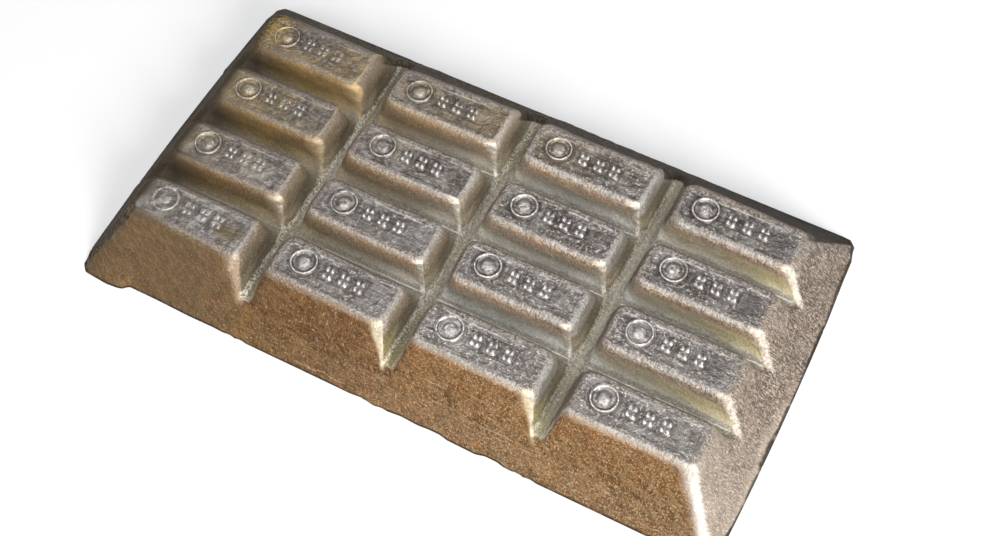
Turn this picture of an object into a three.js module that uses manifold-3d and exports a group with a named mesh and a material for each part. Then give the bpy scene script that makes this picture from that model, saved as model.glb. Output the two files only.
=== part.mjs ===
// Waffle ingot: a drafted block of cast copper alloy whose top is parted by grooves into
// pads, so that a piece of known weight can be broken off for the furnace.
// Millimetres and degrees, +Z up. X runs along the pads and Y across them.
// The origin is the middle of the underside.

import * as THREE from 'three';
import { mergeVertices } from 'three/addons/utils/BufferGeometryUtils.js';
import Module from 'manifold-3d';

// Pads
const columns = 4; // pads side by side along X
const rows = 4; // pads side by side along Y
const columnPitch = 68.8;
const rowPitch = 32.8;
const padTopLength = 51.4; // flat part of the top, along X
const padTopWidth = 16; // flat part of the top, along Y
const padCornerRadius = 3; // corner of the flat top, seen from above
const ridgeRadiusTop = 6.5; // corner of a pad just under its rim, seen from above
const ridgeRadiusFoot = 1.8; // the same corner where it meets the groove floor
const rimRadius = 3.5; // worn round edge between a pad's top and its walls

// Heights above the underside
const height = 29;
const columnFloorHeight = 12.4;
const rowFloorHeight = 15;

// Lean of the walls from upright
const columnWallDraft = 13.5; // walls of the grooves that run along Y
const rowWallDraft = 7.5; // walls of the grooves that run along X
const endDraft = 29;
const frontDraft = 36;
const backDraft = 39;

// Groove floors
const columnFootRadius = 2.2; // hollow between a wall and the flat floor of a Y groove
const sillSetback = 0.4; // an X groove's floor ends this far short of the Y groove's wall

// Foot of the block
const footFlareWidth = 2.4; // thin foot that the metal left against the mould's edge
const footFlareHeight = 1.5;
const footLandHeight = 0.5;
const footCornerRadius = 6;
const endBow = 2; // the end faces swell this much at the middle of the foot

const arcSteps = 4; // chords in each rounded corner, rim and hollow
const bowSteps = 8; // chords along a bowed end
const rimSweep = 80; // degrees of each rim's arc that have sections of their own
const footRiseShares = [1, 0.5, 0.2, 0.06]; // where a wall's hollow foot has sections
const trim = 4; // how far a raw shape runs past the face that trims it
const hollowRatio = 1.05; // an X groove's hollow to one that its walls would only touch
const faceOverlap = 0.05; // how far a pad's outer corner runs past the face that trims it
const sunk = 2; // how far a raw shape reaches into the one under it

const wasm = await Module();
wasm.setup();

const tan = (degrees) => Math.tan(THREE.MathUtils.degToRad(degrees));
const sin = (degrees) => Math.sin(THREE.MathUtils.degToRad(degrees));
const cos = (degrees) => Math.cos(THREE.MathUtils.degToRad(degrees));

// How far a face has spread at a depth below the pad tops: round rim, then straight lean
function spread(depth, draft) {
  const arcDepth = rimRadius * (1 - sin(draft));
  if (depth < arcDepth) return Math.sqrt(2 * rimRadius * depth - depth * depth);
  return rimRadius * cos(draft) + (depth - arcDepth) * tan(draft);
}

// Radius of an X groove's hollow floor, a little more than that of a circle that touches
// the floor and both walls, so that it crosses the walls at a clear angle
function makeRowFloorRadius() {
  const lean = tan(rowWallDraft);
  const arcDepth = rimRadius * (1 - sin(rowWallDraft));
  const gapUnderRim = (rowPitch - padTopWidth) / 2 - rimRadius * cos(rowWallDraft);
  const gapAtFloor = gapUnderRim - (height - rowFloorHeight - arcDepth) * lean;
  return hollowRatio * gapAtFloor / (cos(rowWallDraft) - (1 - sin(rowWallDraft)) * lean);
}
const rowFloorRadius = makeRowFloorRadius();

// Depths at which every loft has a section through its rim
function rimDepths() {
  const angles = Array.from({ length: arcSteps + 1 }, (_, k) => (k * rimSweep) / arcSteps);
  return angles.map((angle) => rimRadius * (1 - cos(angle)));
}

// Radius of an upright corner at a depth, seen from above
function cornerRadius(depth, lastDepth, lastRadius) {
  const underRim = THREE.MathUtils.clamp(depth / rimRadius, 0, 1);
  const down = THREE.MathUtils.clamp((depth - rimRadius) / (lastDepth - rimRadius), 0, 1);
  const ridge = THREE.MathUtils.lerp(padCornerRadius, ridgeRadiusTop, underRim);
  return THREE.MathUtils.lerp(ridge, lastRadius, down);
}

// Rectangle with a radius for each corner, counterclockwise from the back right one.
// The two ends, which run along Y, may be parted into more points.
function roundedRectangle({ left, right, front, back, radii, z, endSteps = 1 }) {
  const corners = [[right, back], [left, back], [left, front], [right, front]];
  const points = [];
  corners.forEach(([x, y], corner) => {
    const radius = radii[corner];
    const centreX = x + (x === right ? -radius : radius);
    const centreY = y + (y === back ? -radius : radius);
    for (let k = 0; k <= arcSteps; k++) {
      const angle = corner * 90 + (k * 90) / arcSteps;
      points.push(new THREE.Vector3(
        centreX + radius * cos(angle), centreY + radius * sin(angle), z));
    }
    if (corner % 2 === 0) return;
    const next = (corner + 1) % corners.length;
    const from = centreY;
    const to = corner === 1 ? front + radii[next] : back - radii[next];
    for (let k = 1; k < endSteps; k++) {
      points.push(new THREE.Vector3(x, THREE.MathUtils.lerp(from, to, k / endSteps), z));
    }
  });
  return points;
}

// Closed skin over a stack of outlines with as many points each, lowest first
function loft(rings) {
  const count = rings[0].length;
  const position = rings.flat().flatMap((point) => point.toArray());
  const index = [];
  for (let level = 0; level < rings.length - 1; level++) {
    for (let k = 0; k < count; k++) {
      const a = level * count + k;
      const b = level * count + ((k + 1) % count);
      index.push(a, b, b + count, a, b + count, a + count);
    }
  }
  const cap = (ring) => THREE.ShapeUtils.triangulateShape(
    ring.map((point) => new THREE.Vector2(point.x, point.y)), []);
  const top = (rings.length - 1) * count;
  for (const [a, b, c] of cap(rings[0])) index.push(a, c, b);
  for (const [a, b, c] of cap(rings.at(-1))) index.push(top + a, top + b, top + c);
  const geometry = new THREE.BufferGeometry();
  geometry.setAttribute('position', new THREE.Float32BufferAttribute(position, 3));
  geometry.setIndex(index);
  return geometry;
}

function toSolid(geometry) {
  geometry.deleteAttribute('normal');
  geometry.deleteAttribute('uv');
  const merged = mergeVertices(geometry, 1e-4);
  return new wasm.Manifold(new wasm.Mesh({
    numProp: 3,
    vertProperties: new Float32Array(merged.attributes.position.array),
    triVerts: new Uint32Array(merged.index.array),
  }));
}

function toGeometry(solid) {
  const mesh = solid.getMesh();
  const geometry = new THREE.BufferGeometry();
  geometry.setAttribute('position', new THREE.BufferAttribute(mesh.vertProperties, 3));
  geometry.setIndex(new THREE.BufferAttribute(mesh.triVerts, 1));
  const faceted = geometry.toNonIndexed();
  faceted.computeVertexNormals();
  return faceted;
}

const join = (solids) => solids.reduce((whole, solid) => whole.add(solid));
const times = (count, make) => Array.from({ length: count }, (_, k) => make(k));

// Centres of the pads, from the middle of the pattern
const columnX = (column) => (column - (columns - 1) / 2) * columnPitch;
const rowY = (row) => (row - (rows - 1) / 2) * rowPitch;

// Reach of the block's faces at a depth, from the middle of the pattern
const endReach = (depth) => columnX(columns - 1) + padTopLength / 2 + spread(depth, endDraft);
const frontReach = (depth) => rowY(rows - 1) + padTopWidth / 2 + spread(depth, frontDraft);
const backReach = (depth) => rowY(rows - 1) + padTopWidth / 2 + spread(depth, backDraft);

// Reach of the front and back edges of the foot, likewise
const footDepth = height - footFlareHeight;
const footFront = frontReach(footDepth) + footFlareWidth;
const footBack = backReach(footDepth) + footFlareWidth;

// Swell of an end face, none at the pad tops and none at the block's corners
function bow(point, depth) {
  const across = point.y / (point.y < 0 ? footFront : footBack);
  const swell = endBow * (depth / height) * Math.max(0, 1 - across * across);
  point.x += Math.sign(point.x) * swell;
  return point;
}

// The block without its grooves: leaning faces, round top edge and thin foot
function makeEnvelope() {
  const section = (z, depth, flare) => {
    const radius = cornerRadius(depth, height, footCornerRadius);
    const ring = roundedRectangle({
      left: -endReach(depth) - flare,
      right: endReach(depth) + flare,
      front: -frontReach(depth) - flare,
      back: backReach(depth) + flare,
      radii: [radius, radius, radius, radius],
      z,
      endSteps: bowSteps,
    });
    return ring.map((point) => bow(point, depth));
  };
  return loft([
    section(0, footDepth, footFlareWidth),
    section(footLandHeight, footDepth, footFlareWidth),
    section(footFlareHeight, footDepth, 0),
    ...rimDepths().reverse().map((depth) => section(height - depth, depth, 0)),
  ]);
}

// One pad, from inside the slab up to its top, with hollow feet on the Y grooves
function makePad(column, row) {
  const [x, y] = [columnX(column), rowY(row)];
  const [first, last] = [column === 0, column === columns - 1];
  const [atFront, atBack] = [row === 0, row === rows - 1];
  const floorDepth = height - columnFloorHeight;
  const footRises = footRiseShares.map((share) => columnFootRadius * share);
  const depths = [
    ...rimDepths(),
    ...footRises.map((rise) => floorDepth - rise),
    floorDepth + sunk,
  ];
  const hollow = (depth) => {
    const rise = THREE.MathUtils.clamp(floorDepth - depth, footRises.at(-1), columnFootRadius);
    return columnFootRadius - Math.sqrt(rise * (2 * columnFootRadius - rise));
  };
  const section = (depth) => {
    const onFace = (draft) => spread(depth, draft) + faceOverlap;
    const atEnd = onFace(endDraft);
    const atColumnGroove = spread(depth, columnWallDraft) + hollow(depth);
    const atRowGroove = spread(depth, rowWallDraft);
    const ridge = cornerRadius(depth, floorDepth, ridgeRadiusFoot);
    const radiusAt = (onEnd, onSide) => (onEnd && onSide ? padCornerRadius / 2 : ridge);
    const ring = roundedRectangle({
      left: x - padTopLength / 2 - (first ? atEnd : atColumnGroove),
      right: x + padTopLength / 2 + (last ? atEnd : atColumnGroove),
      front: y - padTopWidth / 2 - (atFront ? onFace(frontDraft) : atRowGroove),
      back: y + padTopWidth / 2 + (atBack ? onFace(backDraft) : atRowGroove),
      radii: [
        radiusAt(last, atBack), radiusAt(first, atBack),
        radiusAt(first, atFront), radiusAt(last, atFront),
      ],
      z: height - depth,
    });
    const outward = (point) => (first && point.x < x) || (last && point.x > x);
    return ring.map((point) => (outward(point) ? bow(point, depth) : point));
  };
  return loft(depths.reverse().map(section));
}

// Hollow floor of one X groove, as a bar that runs past both ends of the block
function makeTrough(gap) {
  const sweep = THREE.MathUtils.degToRad(rimSweep);
  const bottom = columnFloorHeight - sunk;
  const halfWidth = rowFloorRadius * Math.sin(sweep);
  const profile = new THREE.Shape();
  profile.moveTo(-halfWidth, bottom);
  profile.lineTo(halfWidth, bottom);
  profile.absarc(0, rowFloorHeight + rowFloorRadius, rowFloorRadius,
    -Math.PI / 2 + sweep, -Math.PI / 2 - sweep, true);
  profile.closePath();
  const depth = 2 * (endReach(height) + trim);
  const geometry = new THREE.ExtrudeGeometry(profile, {
    depth, steps: 1, bevelEnabled: false, curveSegments: 3 * arcSteps,
  });
  const [xAxis, yAxis, zAxis] = [[1, 0, 0], [0, 1, 0], [0, 0, 1]].map(
    (axis) => new THREE.Vector3(...axis));
  geometry.translate(0, 0, -depth / 2);
  geometry.applyMatrix4(new THREE.Matrix4().makeBasis(yAxis, zAxis, xAxis));
  return geometry.translate(0, rowY(gap) + rowPitch / 2, 0);
}

// Bar under one column of pads, between the walls of its Y grooves
function makeColumnBar(column) {
  const x = columnX(column);
  const [first, last] = [column === 0, column === columns - 1];
  const side = footBack + trim;
  const section = (z) => {
    const depth = height - z;
    const inner = padTopLength / 2 + spread(depth, columnWallDraft) - sillSetback;
    const outer = padTopLength / 2 + spread(height, endDraft) + trim;
    const [left, right] = [x - (first ? outer : inner), x + (last ? outer : inner)];
    return [[left, -side], [right, -side], [right, side], [left, side]].map(
      ([cornerX, cornerY]) => new THREE.Vector3(cornerX, cornerY, z));
  };
  return loft([
    section(columnFloorHeight - sunk),
    section(rowFloorHeight + rowFloorRadius + trim),
  ]);
}

// Everything under the floors of the Y grooves, before the block's faces trim it
function makeSlab() {
  const top = columnFloorHeight;
  const slab = new THREE.BoxGeometry(
    2 * (endReach(height) + trim), 2 * (footBack + trim), top + trim);
  return slab.translate(0, 0, (top - trim) / 2);
}

function makeIngot() {
  const pads = times(columns * rows, (k) => makePad(k % columns, Math.floor(k / columns)));
  const bars = times(columns, makeColumnBar);
  const troughs = times(rows - 1, makeTrough);
  const sills = join(bars.map(toSolid)).intersect(join(troughs.map(toSolid)));
  const raw = join([toSolid(makeSlab()), sills, ...pads.map(toSolid)]);
  return toGeometry(raw.intersect(toSolid(makeEnvelope())));
}

const alloy = new THREE.MeshStandardMaterial({
  color: 0x8a7a66, roughness: 0.5, metalness: 0.9,
});
const ingot = new THREE.Mesh(makeIngot(), alloy);
ingot.name = 'ingot';
ingot.position.y = (footFront - footBack) / 2;

const part = new THREE.Group();
part.add(ingot);
export default part;
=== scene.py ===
import math
import random
from types import SimpleNamespace
import bpy
from mathutils import Euler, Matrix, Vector


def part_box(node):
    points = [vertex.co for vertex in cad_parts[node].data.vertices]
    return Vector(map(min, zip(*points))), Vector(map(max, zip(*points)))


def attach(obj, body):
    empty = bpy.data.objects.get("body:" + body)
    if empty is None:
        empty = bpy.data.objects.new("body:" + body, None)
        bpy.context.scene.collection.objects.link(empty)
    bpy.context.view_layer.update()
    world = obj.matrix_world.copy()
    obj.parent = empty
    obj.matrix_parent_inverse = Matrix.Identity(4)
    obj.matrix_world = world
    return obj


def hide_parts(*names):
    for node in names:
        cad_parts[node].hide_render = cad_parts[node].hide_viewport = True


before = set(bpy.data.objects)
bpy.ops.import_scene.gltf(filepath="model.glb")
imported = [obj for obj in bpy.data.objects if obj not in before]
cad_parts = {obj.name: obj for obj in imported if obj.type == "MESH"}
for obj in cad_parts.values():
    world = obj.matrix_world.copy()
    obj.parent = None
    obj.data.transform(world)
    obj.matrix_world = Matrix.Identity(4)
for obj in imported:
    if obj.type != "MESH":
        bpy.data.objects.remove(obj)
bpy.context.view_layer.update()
_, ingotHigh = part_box("ingot")
mm = 0.001

# Where the pads are, as the solid has them
padPlan = {
    "columns": 4,
    "rows": 4,
    "pitchX": 68.8 * mm,
    "pitchY": 32.8 * mm,
    "middleY": -1.0876 * mm,  # middle of the pattern
    "halfLength": 25.7 * mm,  # half a pad's flat top
    "halfWidth": 8 * mm,
    "topZ": ingotHigh.z,
    "rowFloorZ": 15 * mm,
    "lastColumnX": 103 * mm,  # past these, a pad's right and front walls are the block's own
    "firstRowY": -50 * mm,
}

# How far out each wall of a pad goes as it falls
wallSlopes = {
    "column": 0.43,
    "row": 0.6,
    "front": 0.79,
    "back": 0.87,
    "end": 0.68,
    "endRidge": 0.7,  # the right end at its corner ridges
}


def deselectAll():
    bpy.ops.object.select_all(action="DESELECT")


def pickOnly(piece):
    deselectAll()
    piece.select_set(True)
    bpy.context.view_layer.objects.active = piece


def applyModifier(piece, kind, **settings):
    pickOnly(piece)
    modifier = piece.modifiers.new(kind.lower(), kind)
    for name, value in settings.items():
        setattr(modifier, name, value)
    bpy.ops.object.modifier_apply(modifier=modifier.name)


def applyTransform(piece):
    pickOnly(piece)
    bpy.ops.object.transform_apply(location=True, rotation=True, scale=True)


leastWeight = 0.001  # a vertex with less is left out


def weighByPlace(piece, weigh):
    # a vertex group whose weight comes from where each vertex is
    group = piece.vertex_groups.new(name=weigh.__name__)
    for vertex in piece.data.vertices:
        weight = weigh(vertex.co)
        if weight > leastWeight:
            group.add([vertex.index], min(weight, 1), "REPLACE")
    return group.name


def relax(piece, times, weigh, **settings):
    group = weighByPlace(piece, weigh)
    applyModifier(piece, "SMOOTH", factor=0.5, iterations=times, vertex_group=group, **settings)


def push(piece, direction, distance, weigh):
    group = weighByPlace(piece, weigh)
    applyModifier(piece, "DISPLACE", texture=None, texture_coords="LOCAL", direction=direction, mid_level=0,
                  strength=distance, vertex_group=group)


def blobTexture(name, size, depth, colour=False):
    texture = bpy.data.textures.new(name, "CLOUDS")
    texture.noise_scale = size
    texture.noise_depth = depth
    texture.cloud_type = "COLOR" if colour else "GRAYSCALE"
    return texture


def smoothStep(low, high, value):
    share = max(0.0, min(1.0, (value - low) / (high - low)))
    return share * share * (3 - 2 * share)


def between(table, place):
    # a value read off a list of (place, value), straight between its entries
    for (lowPlace, lowValue), (highPlace, highValue) in zip(table, table[1:]):
        if lowPlace <= place <= highPlace:
            return lowValue + (highValue - lowValue) * (place - lowPlace) / (highPlace - lowPlace)
    return table[0][1] if place < table[0][0] else table[-1][1]


def padMiddle(column, row):
    x = (column - (padPlan["columns"] - 1) / 2) * padPlan["pitchX"]
    y = (row - (padPlan["rows"] - 1) / 2) * padPlan["pitchY"] + padPlan["middleY"]
    return x, y


def nearestPad(place):
    # the middle of the pad nearest to a place
    column = round(place.x / padPlan["pitchX"] + (padPlan["columns"] - 1) / 2)
    row = round((place.y - padPlan["middleY"]) / padPlan["pitchY"] + (padPlan["rows"] - 1) / 2)
    return padMiddle(max(0, min(padPlan["columns"] - 1, column)), max(0, min(padPlan["rows"] - 1, row)))


# The casting itself: the solid with a new even skin, worn shoulders, pits, wander and grain
castBlock = {
    "weld": 0.001 * mm,
    "gridSize": 1.05 * mm,
    "smoothing": 2,
    "edgeSmoothing": 12,  # the sharp edge round the foot
    "endLineX": 140 * mm,  # the line of an end's foot is read beyond this
    "endLineStep": 1.5 * mm,
    "solidFoot": 0.1 * mm,  # heights under which the solid's line and the skin's are read
    "skinFoot": 3 * mm,
    "endMovesX": 135 * mm,  # what lies beyond this moves to the solid's line
    "mostGap": 2.5 * mm,  # the farthest that any of it moves
    "shoulderSmoothing": 7,  # the pads' worn front and right edges
    "shoulderDepth": 9 * mm,
    "shoulderSpare": 1 * mm,  # how much farther a place may lie beyond the pad's other edges
    "flareSmoothing": 18,  # the pads' front right corners, which widen towards the top
    "flareDepth": 16 * mm,
    "flareInside": 3 * mm,  # how far in from the flat top's corner they start
    "flareReach": 6.5 * mm,  # half their width at the top, which would be nothing at flareEnd
    "flareEnd": 18 * mm,
    "sillSmoothing": 24,  # where a row groove opens into a column groove
    "sillMostX": 110 * mm,
    "sillHeight": 2 * mm,
    "flatUnder": 0.6 * mm,  # below this height the skin stays flat on the floor
    "wander": 0.7 * mm,
    "wanderSize": 45 * mm,
    "drift": 0.9 * mm,  # how far the grooves stray sideways
    "driftSizes": [38 * mm, 52 * mm],
    "lump": 0.35 * mm,
    "lumpSize": 9 * mm,
    "grain": 0.22 * mm,
    "grainSize": 2.2 * mm,
    "panelDrop": 0.45 * mm,  # the pads' flat panels lie this far below their raised borders
    "panelDepth": 1 * mm,  # no panel lies lower than this under the pads' tops
    "leastDrop": 0.35,  # share of the drop at the left
    "mostFoot": 3.3 * mm,
    "frontFootY": -60 * mm,  # the foot bulges beyond these
    "rightFootX": 115 * mm,
    "underFacing": -0.9,  # a face of the underside looks down at least this steeply
    "underShare": 0.08,  # faces of the underside that stay
    "smoothAngle": 50,
}

# Where each change of the skin sets in or dies out
zones = {
    "edgeHeight": (1.8 * mm, 3.6 * mm),
    "endCorner": (70 * mm, 77 * mm),  # the ends' rounded corners
    "endHeight": (2 * mm, 9 * mm),
    "panelLeft": (-90 * mm, -10 * mm),
    "panelEdge": (-1.2 * mm, 0.3 * mm),
    "shoulderStart": (0, 1 * mm),
    "shoulderEnd": (4 * mm, 6 * mm),
    "sillStart": (3 * mm, 5 * mm),
    "sillEnd": (7.5 * mm, 8.5 * mm),
    "sillAcross": (2 * mm, 4 * mm),
    "frontFootHeight": (1.5 * mm, 9 * mm),
    "rightFootHeight": (1.5 * mm, 18 * mm),
    "skinHeight": (castBlock["flatUnder"], 3 * castBlock["flatUnder"]),
    "pit": (0.2, 1),
}

# How far the foot bulges outwards, in millimetres, along the front and along the right end
frontFoot = [
    (-147, 2.4), (-139, 2.9), (-133, 3.3), (-128, 2.9), (-125.5, 2.3), (-123, 0), (-108, 0), (-92, 0.4),
    (-80, 0.2), (-70, 0.6), (-40, 0.5), (-12, 0.5), (-7, 0), (-2, 1.1), (6, 0.6), (12, 0), (20, 0.4),
    (25, 0), (30, 0), (34, 0.8), (47, 1), (51, 0), (56, 0), (60, 0.8), (70, 1.1), (150, 1)]
rightFoot = [(-82, 2.6), (-60, 2.5), (-40, 2.2), (-15, 1.8), (9, 1.4), (40, 1), (60, 0.4), (80, 0.5)]

# Blowholes and a cold shut: middle, half length along x, half length across, depth, in millimetres
pits = [
    ((-82.7, -24.2, 28.6), 1.5, 1.8, 1.5),
    ((-8.2, -38.3, 28.6), 1.4, 1.5, 1.2),
    ((72.8, -43.2, 28.6), 1.4, 1.5, 1.2),
    ((-63.9, 16.3, 28.6), 1.5, 1.5, 1.2),
    ((64.6, -73.4, 11), 3.4, 1.5, 1.6),
]


def setIn(zone, value):
    return smoothStep(*zones[zone], value)


def dieOut(zone, value):
    return 1 - smoothStep(*zones[zone], value)


def makeCastBlock():
    pickOnly(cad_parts["ingot"])
    bpy.ops.object.duplicate()
    block = bpy.context.active_object
    block.name = "castBlock"
    block.parent = None
    for key in list(block.keys()):
        del block[key]
    block.data.materials.clear()
    bpy.ops.object.mode_set(mode="EDIT")
    bpy.ops.mesh.select_all(action="SELECT")
    bpy.ops.mesh.remove_doubles(threshold=castBlock["weld"])
    bpy.ops.object.mode_set(mode="OBJECT")
    applyModifier(block, "REMESH", mode="VOXEL", voxel_size=castBlock["gridSize"])
    applyModifier(block, "SMOOTH", factor=0.5, iterations=castBlock["smoothing"])
    shapeSkin(block)
    roughenSkin(block)
    thinUnderside(block)
    pickOnly(block)
    bpy.ops.object.shade_smooth_by_angle(angle=math.radians(castBlock["smoothAngle"]))
    print("castBlock:", len(block.data.polygons), "faces")
    return block


def shapeSkin(block):
    relax(block, castBlock["edgeSmoothing"], footEdge, use_z=False)
    straightenEnd(block, -1)
    straightenEnd(block, 1)
    relax(block, castBlock["shoulderSmoothing"], wornShoulder)
    relax(block, castBlock["flareSmoothing"], cornerFlare)
    push(block, "Z", -castBlock["panelDrop"], padPanel)
    relax(block, castBlock["sillSmoothing"], grooveMouth)
    push(block, "Y", -castBlock["mostFoot"], frontFootBulge)
    push(block, "X", castBlock["mostFoot"], rightFootBulge)
    for pit in pits:
        pressPit(block, *pit)


def footEdge(place):
    return dieOut("edgeHeight", place.z)


def footLine(piece, side, highest):
    # how far out a mesh's foot reaches at the right end (side 1) or the left, as (y, x)
    step = castBlock["endLineStep"]
    line = {}
    for vertex in piece.data.vertices:
        if vertex.co.z < highest and vertex.co.x * side > castBlock["endLineX"]:
            place = round(vertex.co.y / step)
            line[place] = max(line.get(place, 0), vertex.co.x * side)
    return [(place * step, reach) for place, reach in sorted(line.items())]


def straightenEnd(block, side):
    # the new skin steps where the foot runs nearly along its grid, so it goes back to the solid's line
    wanted = footLine(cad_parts["ingot"], side, castBlock["solidFoot"])
    found = footLine(block, side, castBlock["skinFoot"])

    def endGap(place):
        if place.x * side < castBlock["endMovesX"]:
            return 0
        gap = between(wanted, place.y) - between(found, place.y)
        gap = gap * dieOut("endCorner", abs(place.y))
        return gap / castBlock["mostGap"] * dieOut("endHeight", place.z)

    push(block, "X", side * castBlock["mostGap"], endGap)


def beyondPad(place):
    # how far a place lies beyond the nearest pad's flat top, along and across
    x, y = nearestPad(place)
    return abs(place.x - x) - padPlan["halfLength"], abs(place.y - y) - padPlan["halfWidth"]


def beyondCorner(place):
    # how far a place lies to the right of and in front of the nearest pad's flat top
    x, y = nearestPad(place)
    return place.x - x - padPlan["halfLength"], y - place.y - padPlan["halfWidth"]


def padPanel(place):
    # one on the flat top of a pad, none outside it
    if place.z < padPlan["topZ"] - castBlock["panelDepth"]:
        return 0
    hollow = castBlock["leastDrop"] + (1 - castBlock["leastDrop"]) * setIn("panelLeft", place.x)
    return hollow * dieOut("panelEdge", max(beyondPad(place)))


def grooveMouth(place):
    # one where a row groove's floor meets a column groove
    along, across = beyondPad(place)
    if place.z > padPlan["rowFloorZ"] + castBlock["sillHeight"] or abs(place.x) > castBlock["sillMostX"]:
        return 0
    return setIn("sillStart", along) * dieOut("sillEnd", along) * setIn("sillAcross", across)


def wornShoulder(place):
    # one on the top of a pad's front and right edges
    beyond = max(beyondCorner(place))
    if place.z < padPlan["topZ"] - castBlock["shoulderDepth"]:
        return 0
    if max(beyondPad(place)) > beyond + castBlock["shoulderSpare"]:
        return 0
    return setIn("shoulderStart", beyond) * dieOut("shoulderEnd", beyond)


def cornerFlare(place):
    # one along a pad's front right corner, in a strip that narrows towards the foot
    right, front = beyondCorner(place)
    deep = padPlan["topZ"] - place.z
    if deep > castBlock["flareDepth"] or min(right, front) < -castBlock["flareInside"]:
        return 0
    wallX = deep * wallSlopes["endRidge" if place.x > padPlan["lastColumnX"] else "column"]
    wallY = deep * wallSlopes["front" if place.y < padPlan["firstRowY"] else "row"]
    reach = castBlock["flareReach"] * (1 - deep / castBlock["flareEnd"])
    return 1 - smoothStep(0.5 * reach, reach, abs(front - wallY - right + wallX))


def frontFootBulge(place):
    if place.y > castBlock["frontFootY"]:
        return 0
    out = between(frontFoot, place.x / mm) * mm / castBlock["mostFoot"]
    return out * dieOut("frontFootHeight", place.z)


def rightFootBulge(place):
    if place.x < castBlock["rightFootX"]:
        return 0
    out = between(rightFoot, place.y / mm) * mm / castBlock["mostFoot"]
    return out * dieOut("rightFootHeight", place.z)


def pressPit(block, middle, halfX, halfAcross, deep):
    middle = Vector(middle) * mm

    def pit(place):
        along = (place.x - middle.x) / halfX / mm
        across = (place - middle).yz.length / halfAcross / mm
        return dieOut("pit", math.hypot(along, across))

    push(block, "NORMAL", -deep * mm, pit)


def offFloor(place):
    return setIn("skinHeight", place.z)


def roughenSkin(block):
    skin = weighByPlace(block, offFloor)

    def roughen(texture, amount, direction="NORMAL"):
        applyModifier(block, "DISPLACE", texture=texture, texture_coords="LOCAL", direction=direction,
                      mid_level=0.5, strength=amount * 2, vertex_group=skin)

    wander = blobTexture("wander", castBlock["wanderSize"], 1, colour=True)
    roughen(wander, castBlock["wander"], "RGB_TO_XYZ")
    for direction, size in zip("XY", castBlock["driftSizes"]):
        roughen(blobTexture("drift" + direction, size, 0), castBlock["drift"], direction)
    for name in ("lump", "grain"):
        roughen(blobTexture(name, castBlock[name + "Size"], 2), castBlock[name])


def thinUnderside(block):
    # the nearly flat underside needs no fine grid
    pickOnly(block)
    bpy.ops.object.mode_set(mode="EDIT")
    bpy.ops.mesh.select_mode(type="FACE")
    bpy.ops.mesh.select_all(action="DESELECT")
    bpy.ops.object.mode_set(mode="OBJECT")
    for face in block.data.polygons:
        face.select = face.normal.z < castBlock["underFacing"] and face.center.z < castBlock["flatUnder"]
    bpy.ops.object.mode_set(mode="EDIT")
    bpy.ops.mesh.decimate(ratio=castBlock["underShare"])
    bpy.ops.object.mode_set(mode="OBJECT")


# The raised marks on a pad: a plain round boss with a raised rim and three plain hipped studs
padMark = {
    "sink": 1 * mm,  # how far a mark's foot lies under the pad's border
    "bossSides": 40,
    "bossRadius": 6.7 * mm,
    "bossX": -15.5 * mm,
    "studX": [-3.6 * mm, 3.7 * mm, 11.0 * mm],
    "studLength": 5.9 * mm,
    "studWidth": 7.4 * mm,
    "markY": 0.9 * mm,
    # from the foot inwards, each step in millimetres: how far in, how far up
    "bossSteps": [
        (0.3, 0.7), (0.25, 0.5), (0.25, 0.3), (0.35, 0.05), (0.35, -0.05), (0.25, -0.3), (0.3, -0.35),
        (0.5, -0.05), (0.7, 0.02), (0.5, 0.25), (0.5, 0.25), (0.7, 0.16), (0.8, 0.05)],
    "studSteps": [(0.3, 0.6), (0.25, 0.4)],
    "knobSteps": [(0.35, 0.3), (0.4, 0.26), (0.3, 0.1)],  # each stud ends in four low knobs
    "mostWear": 0.2 * mm,
    "leftWear": [0.3 * mm, 0.12 * mm, 0, 0],  # further wear, column by column
    "grainShare": 0.75,  # how much of the block's grain a mark has
    "seed": 7,
}


def insetUp(steps, each):
    for inward, up in steps:
        bpy.ops.mesh.inset(thickness=inward * mm, depth=0, use_even_offset=True, use_individual=each)
        bpy.ops.transform.translate(value=(0, 0, up * mm))


def raiseMark(mark, steps, knobSteps=()):
    applyTransform(mark)
    bpy.ops.object.mode_set(mode="EDIT")
    bpy.ops.mesh.select_mode(type="FACE")
    bpy.ops.mesh.select_all(action="SELECT")
    insetUp(steps, False)
    insetUp(knobSteps, True)
    bpy.ops.object.mode_set(mode="OBJECT")


def makeBoss():
    bpy.ops.mesh.primitive_circle_add(
        vertices=padMark["bossSides"], radius=padMark["bossRadius"], fill_type="NGON",
        location=(padMark["bossX"], padMark["markY"], padPlan["topZ"] - padMark["sink"]))
    boss = bpy.context.active_object
    raiseMark(boss, padMark["bossSteps"])
    return boss


def makeStud(x):
    bpy.ops.mesh.primitive_grid_add(
        x_subdivisions=2, y_subdivisions=2, size=1,
        location=(x, padMark["markY"], padPlan["topZ"] - padMark["sink"]))
    stud = bpy.context.active_object
    stud.scale = (padMark["studLength"], padMark["studWidth"], 1)
    raiseMark(stud, padMark["studSteps"], padMark["knobSteps"])
    return stud


def makePadMark():
    parts = [makeBoss(), *[makeStud(x) for x in padMark["studX"]]]
    mark = parts[0]
    deselectAll()
    for part in parts:
        part.select_set(True)
    bpy.context.view_layer.objects.active = mark
    bpy.ops.object.join()
    applyModifier(mark, "SUBSURF", levels=1, render_levels=1)
    pickOnly(mark)
    bpy.ops.object.shade_smooth()
    return mark


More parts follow.
